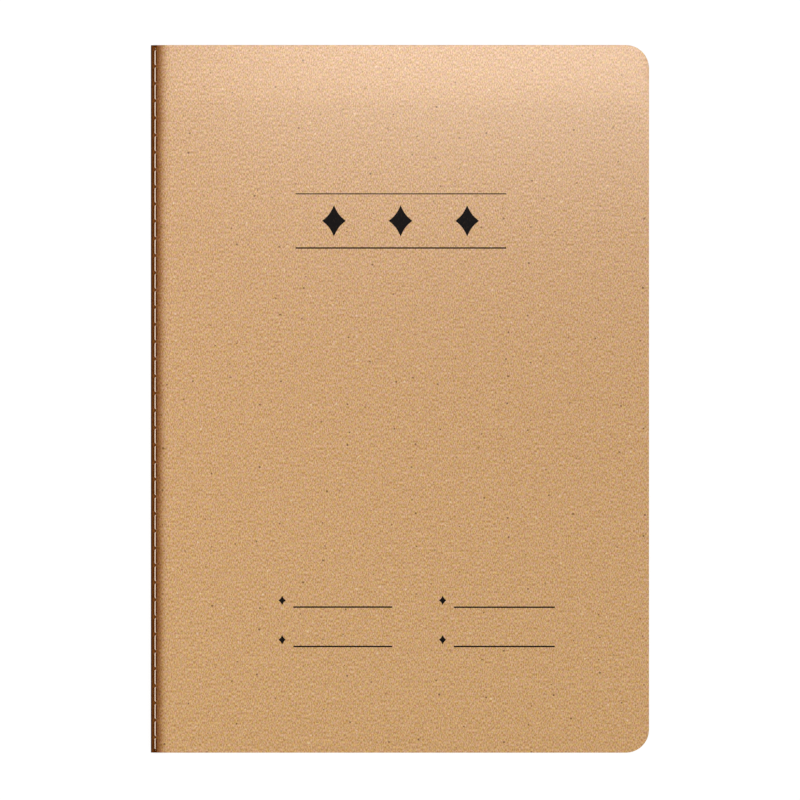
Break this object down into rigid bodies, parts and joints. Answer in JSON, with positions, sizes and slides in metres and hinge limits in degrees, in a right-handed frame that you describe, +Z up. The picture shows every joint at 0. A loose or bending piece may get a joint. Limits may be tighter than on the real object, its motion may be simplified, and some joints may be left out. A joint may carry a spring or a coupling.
{
  "type": "exercise book",
  "caption": "Closed thread-sewn exercise book: a kraft card cover with rounded fore-edge corners round nested folded sheets; the cover and the leaves turn about the spine.",
  "frame": {"origin": "under the middle of the closed book, on the plane that it lies on", "axes": "+X from the spine to the fore-edge, +Y from the tail to the head, +Z up out of the front cover"},
  "size_m": [0.176, 0.25, 0.0055],
  "materials": {
    "kraft_card": "matt uncoated kraft card with fine fibres",
    "paper": "matt uncoated writing paper",
    "sewing_thread": "twisted pale sewing thread"
  },
  "bodies": {
    "back": {"back_cover": "kraft_card", "sheet_01_back_leaf": "paper"},
    "spine": {"cover_spine": "kraft_card", "sheet_01_fold": "paper", "sheet_02_fold": "paper", "sheet_03_fold": "paper", "sheet_04_fold": "paper", "sheet_05_fold": "paper", "sheet_06_fold": "paper", "sheet_07_fold": "paper", "sheet_08_fold": "paper", "sheet_09_fold": "paper", "sheet_10_fold": "paper", "sheet_11_fold": "paper", "sheet_12_fold": "paper", "sheet_13_fold": "paper", "sheet_14_fold": "paper", "sheet_15_fold": "paper", "sheet_16_fold": "paper", "sheet_17_fold": "paper", "sheet_18_fold": "paper", "needle_thread": "sewing_thread", "bobbin_thread": "sewing_thread"},
    "sheet_01_front": {"sheet_01_front_leaf": "paper"},
    "cover_front": {"front_cover": "kraft_card"},
    "sheet_02_back": {"sheet_02_back_leaf": "paper"},
    "sheet_02_front": {"sheet_02_front_leaf": "paper"},
    "sheet_03_back": {"sheet_03_back_leaf": "paper"},
    "sheet_03_front": {"sheet_03_front_leaf": "paper"},
    "sheet_04_back": {"sheet_04_back_leaf": "paper"},
    "sheet_04_front": {"sheet_04_front_leaf": "paper"},
    "sheet_05_back": {"sheet_05_back_leaf": "paper"},
    "sheet_05_front": {"sheet_05_front_leaf": "paper"},
    "sheet_06_back": {"sheet_06_back_leaf": "paper"},
    "sheet_06_front": {"sheet_06_front_leaf": "paper"},
    "sheet_07_back": {"sheet_07_back_leaf": "paper"},
    "sheet_07_front": {"sheet_07_front_leaf": "paper"},
    "sheet_08_back": {"sheet_08_back_leaf": "paper"},
    "sheet_08_front": {"sheet_08_front_leaf": "paper"},
    "sheet_09_back": {"sheet_09_back_leaf": "paper"},
    "sheet_09_front": {"sheet_09_front_leaf": "paper"},
    "sheet_10_back": {"sheet_10_back_leaf": "paper"},
    "sheet_10_front": {"sheet_10_front_leaf": "paper"},
    "sheet_11_back": {"sheet_11_back_leaf": "paper"},
    "sheet_11_front": {"sheet_11_front_leaf": "paper"},
    "sheet_12_back": {"sheet_12_back_leaf": "paper"},
    "sheet_12_front": {"sheet_12_front_leaf": "paper"},
    "sheet_13_back": {"sheet_13_back_leaf": "paper"},
    "sheet_13_front": {"sheet_13_front_leaf": "paper"},
    "sheet_14_back": {"sheet_14_back_leaf": "paper"},
    "sheet_14_front": {"sheet_14_front_leaf": "paper"},
    "sheet_15_back": {"sheet_15_back_leaf": "paper"},
    "sheet_15_front": {"sheet_15_front_leaf": "paper"},
    "sheet_16_back": {"sheet_16_back_leaf": "paper"},
    "sheet_16_front": {"sheet_16_front_leaf": "paper"},
    "sheet_17_back": {"sheet_17_back_leaf": "paper"},
    "sheet_17_front": {"sheet_17_front_leaf": "paper"},
    "sheet_18_back": {"sheet_18_back_leaf": "paper"},
    "sheet_18_front": {"sheet_18_front_leaf": "paper"}
  },
  "joints": [
    {"name": "book_opening", "type": "hinge", "parent": "back", "child": "sheet_01_front", "pos_m": [-0.08556, 0, 0.00273], "axis": [0, -1, 0], "range_deg": [0, 178]},
    {"name": "spine_roll", "type": "hinge", "parent": "back", "child": "spine", "pos_m": [-0.08556, 0, 0.00273], "axis": [0, -1, 0], "range_deg": [0, 89]},
    {"name": "front_cover_turn", "type": "hinge", "parent": "sheet_01_front", "child": "cover_front", "pos_m": [-0.08207, 0, 0.0056], "axis": [0, -1, 0], "range_deg": [0, 178]},
    {"name": "sheet_02_back_rise", "type": "hinge", "parent": "back", "child": "sheet_02_back", "pos_m": [-0.08556, 0, 0.00273], "axis": [0, -1, 0], "range_deg": [0, 0.0534]},
    {"name": "sheet_02_turn", "type": "hinge", "parent": "sheet_02_back", "child": "sheet_02_front", "pos_m": [-0.08556, 0, 0.00273], "axis": [0, -1, 0], "range_deg": [0, 177.89]},
    {"name": "sheet_03_back_rise", "type": "hinge", "parent": "back", "child": "sheet_03_back", "pos_m": [-0.08556, 0, 0.00273], "axis": [0, -1, 0], "range_deg": [0, 0.1068]},
    {"name": "sheet_03_turn", "type": "hinge", "parent": "sheet_03_back", "child": "sheet_03_front", "pos_m": [-0.08556, 0, 0.00273], "axis": [0, -1, 0], "range_deg": [0, 177.79]},
    {"name": "sheet_04_back_rise", "type": "hinge", "parent": "back", "child": "sheet_04_back", "pos_m": [-0.08556, 0, 0.00273], "axis": [0, -1, 0], "range_deg": [0, 0.1602]},
    {"name": "sheet_04_turn", "type": "hinge", "parent": "sheet_04_back", "child": "sheet_04_front", "pos_m": [-0.08556, 0, 0.00273], "axis": [0, -1, 0], "range_deg": [0, 177.68]},
    {"name": "sheet_05_back_rise", "type": "hinge", "parent": "back", "child": "sheet_05_back", "pos_m": [-0.08556, 0, 0.00273], "axis": [0, -1, 0], "range_deg": [0, 0.2136]},
    {"name": "sheet_05_turn", "type": "hinge", "parent": "sheet_05_back", "child": "sheet_05_front", "pos_m": [-0.08556, 0, 0.00273], "axis": [0, -1, 0], "range_deg": [0, 177.57]},
    {"name": "sheet_06_back_rise", "type": "hinge", "parent": "back", "child": "sheet_06_back", "pos_m": [-0.08556, 0, 0.00273], "axis": [0, -1, 0], "range_deg": [0, 0.267]},
    {"name": "sheet_06_turn", "type": "hinge", "parent": "sheet_06_back", "child": "sheet_06_front", "pos_m": [-0.08556, 0, 0.00273], "axis": [0, -1, 0], "range_deg": [0, 177.47]},
    {"name": "sheet_07_back_rise", "type": "hinge", "parent": "back", "child": "sheet_07_back", "pos_m": [-0.08556, 0, 0.00273], "axis": [0, -1, 0], "range_deg": [0, 0.3204]},
    {"name": "sheet_07_turn", "type": "hinge", "parent": "sheet_07_back", "child": "sheet_07_front", "pos_m": [-0.08556, 0, 0.00273], "axis": [0, -1, 0], "range_deg": [0, 177.36]},
    {"name": "sheet_08_back_rise", "type": "hinge", "parent": "back", "child": "sheet_08_back", "pos_m": [-0.08556, 0, 0.00273], "axis": [0, -1, 0], "range_deg": [0, 0.3738]},
    {"name": "sheet_08_turn", "type": "hinge", "parent": "sheet_08_back", "child": "sheet_08_front", "pos_m": [-0.08556, 0, 0.00273], "axis": [0, -1, 0], "range_deg": [0, 177.25]},
    {"name": "sheet_09_back_rise", "type": "hinge", "parent": "back", "child": "sheet_09_back", "pos_m": [-0.08556, 0, 0.00273], "axis": [0, -1, 0], "range_deg": [0, 0.4272]},
    {"name": "sheet_09_turn", "type": "hinge", "parent": "sheet_09_back", "child": "sheet_09_front", "pos_m": [-0.08556, 0, 0.00273], "axis": [0, -1, 0], "range_deg": [0, 177.15]},
    {"name": "sheet_10_back_rise", "type": "hinge", "parent": "back", "child": "sheet_10_back", "pos_m": [-0.08556, 0, 0.00273], "axis": [0, -1, 0], "range_deg": [0, 0.4806]},
    {"name": "sheet_10_turn", "type": "hinge", "parent": "sheet_10_back", "child": "sheet_10_front", "pos_m": [-0.08556, 0, 0.00273], "axis": [0, -1, 0], "range_deg": [0, 177.04]},
    {"name": "sheet_11_back_rise", "type": "hinge", "parent": "back", "child": "sheet_11_back", "pos_m": [-0.08556, 0, 0.00273], "axis": [0, -1, 0], "range_deg": [0, 0.534]},
    {"name": "sheet_11_turn", "type": "hinge", "parent": "sheet_11_back", "child": "sheet_11_front", "pos_m": [-0.08556, 0, 0.00273], "axis": [0, -1, 0], "range_deg": [0, 176.93]},
    {"name": "sheet_12_back_rise", "type": "hinge", "parent": "back", "child": "sheet_12_back", "pos_m": [-0.08556, 0, 0.00273], "axis": [0, -1, 0], "range_deg": [0, 0.5874]},
    {"name": "sheet_12_turn", "type": "hinge", "parent": "sheet_12_back", "child": "sheet_12_front", "pos_m": [-0.08556, 0, 0.00273], "axis": [0, -1, 0], "range_deg": [0, 176.83]},
    {"name": "sheet_13_back_rise", "type": "hinge", "parent": "back", "child": "sheet_13_back", "pos_m": [-0.08556, 0, 0.00273], "axis": [0, -1, 0], "range_deg": [0, 0.6408]},
    {"name": "sheet_13_turn", "type": "hinge", "parent": "sheet_13_back", "child": "sheet_13_front", "pos_m": [-0.08556, 0, 0.00273], "axis": [0, -1, 0], "range_deg": [0, 176.72]},
    {"name": "sheet_14_back_rise", "type": "hinge", "parent": "back", "child": "sheet_14_back", "pos_m": [-0.08556, 0, 0.00273], "axis": [0, -1, 0], "range_deg": [0, 0.6942]},
    {"name": "sheet_14_turn", "type": "hinge", "parent": "sheet_14_back", "child": "sheet_14_front", "pos_m": [-0.08556, 0, 0.00273], "axis": [0, -1, 0], "range_deg": [0, 176.61]},
    {"name": "sheet_15_back_rise", "type": "hinge", "parent": "back", "child": "sheet_15_back", "pos_m": [-0.08556, 0, 0.00273], "axis": [0, -1, 0], "range_deg": [0, 0.7476]},
    {"name": "sheet_15_turn", "type": "hinge", "parent": "sheet_15_back", "child": "sheet_15_front", "pos_m": [-0.08556, 0, 0.00273], "axis": [0, -1, 0], "range_deg": [0, 176.5]},
    {"name": "sheet_16_back_rise", "type": "hinge", "parent": "back", "child": "sheet_16_back", "pos_m": [-0.08556, 0, 0.00273], "axis": [0, -1, 0], "range_deg": [0, 0.801]},
    {"name": "sheet_16_turn", "type": "hinge", "parent": "sheet_16_back", "child": "sheet_16_front", "pos_m": [-0.08556, 0, 0.00273], "axis": [0, -1, 0], "range_deg": [0, 176.4]},
    {"name": "sheet_17_back_rise", "type": "hinge", "parent": "back", "child": "sheet_17_back", "pos_m": [-0.08556, 0, 0.00273], "axis": [0, -1, 0], "range_deg": [0, 0.8544]},
    {"name": "sheet_17_turn", "type": "hinge", "parent": "sheet_17_back", "child": "sheet_17_front", "pos_m": [-0.08556, 0, 0.00273], "axis": [0, -1, 0], "range_deg": [0, 176.29]},
    {"name": "sheet_18_back_rise", "type": "hinge", "parent": "back", "child": "sheet_18_back", "pos_m": [-0.08556, 0, 0.00273], "axis": [0, -1, 0], "range_deg": [0, 0.9078]},
    {"name": "sheet_18_turn", "type": "hinge", "parent": "sheet_18_back", "child": "sheet_18_front", "pos_m": [-0.08556, 0, 0.00273], "axis": [0, -1, 0], "range_deg": [0, 176.18]}
  ],
  "couplings": [
    {"joint": "spine_roll", "follows": "book_opening", "ratio": 0.5},
    {"joint": "sheet_02_back_rise", "follows": "book_opening", "ratio": 0.0003},
    {"joint": "sheet_02_turn", "follows": "book_opening", "ratio": 0.9994},
    {"joint": "sheet_03_back_rise", "follows": "book_opening", "ratio": 0.0006},
    {"joint": "sheet_03_turn", "follows": "book_opening", "ratio": 0.9988},
    {"joint": "sheet_04_back_rise", "follows": "book_opening", "ratio": 0.0009},
    {"joint": "sheet_04_turn", "follows": "book_opening", "ratio": 0.9982},
    {"joint": "sheet_05_back_rise", "follows": "book_opening", "ratio": 0.0012},
    {"joint": "sheet_05_turn", "follows": "book_opening", "ratio": 0.9976},
    {"joint": "sheet_06_back_rise", "follows": "book_opening", "ratio": 0.0015},
    {"joint": "sheet_06_turn", "follows": "book_opening", "ratio": 0.997},
    {"joint": "sheet_07_back_rise", "follows": "book_opening", "ratio": 0.0018},
    {"joint": "sheet_07_turn", "follows": "book_opening", "ratio": 0.9964},
    {"joint": "sheet_08_back_rise", "follows": "book_opening", "ratio": 0.0021},
    {"joint": "sheet_08_turn", "follows": "book_opening", "ratio": 0.9958},
    {"joint": "sheet_09_back_rise", "follows": "book_opening", "ratio": 0.0024},
    {"joint": "sheet_09_turn", "follows": "book_opening", "ratio": 0.9952},
    {"joint": "sheet_10_back_rise", "follows": "book_opening", "ratio": 0.0027},
    {"joint": "sheet_10_turn", "follows": "book_opening", "ratio": 0.9946},
    {"joint": "sheet_11_back_rise", "follows": "book_opening", "ratio": 0.003},
    {"joint": "sheet_11_turn", "follows": "book_opening", "ratio": 0.994},
    {"joint": "sheet_12_back_rise", "follows": "book_opening", "ratio": 0.0033},
    {"joint": "sheet_12_turn", "follows": "book_opening", "ratio": 0.9934},
    {"joint": "sheet_13_back_rise", "follows": "book_opening", "ratio": 0.0036},
    {"joint": "sheet_13_turn", "follows": "book_opening", "ratio": 0.9928},
    {"joint": "sheet_14_back_rise", "follows": "book_opening", "ratio": 0.0039},
    {"joint": "sheet_14_turn", "follows": "book_opening", "ratio": 0.9922},
    {"joint": "sheet_15_back_rise", "follows": "book_opening", "ratio": 0.0042},
    {"joint": "sheet_15_turn", "follows": "book_opening", "ratio": 0.9916},
    {"joint": "sheet_16_back_rise", "follows": "book_opening", "ratio": 0.0045},
    {"joint": "sheet_16_turn", "follows": "book_opening", "ratio": 0.991},
    {"joint": "sheet_17_back_rise", "follows": "book_opening", "ratio": 0.0048},
    {"joint": "sheet_17_turn", "follows": "book_opening", "ratio": 0.9904},
    {"joint": "sheet_18_back_rise", "follows": "book_opening", "ratio": 0.0051},
    {"joint": "sheet_18_turn", "follows": "book_opening", "ratio": 0.9898}
  ]
}
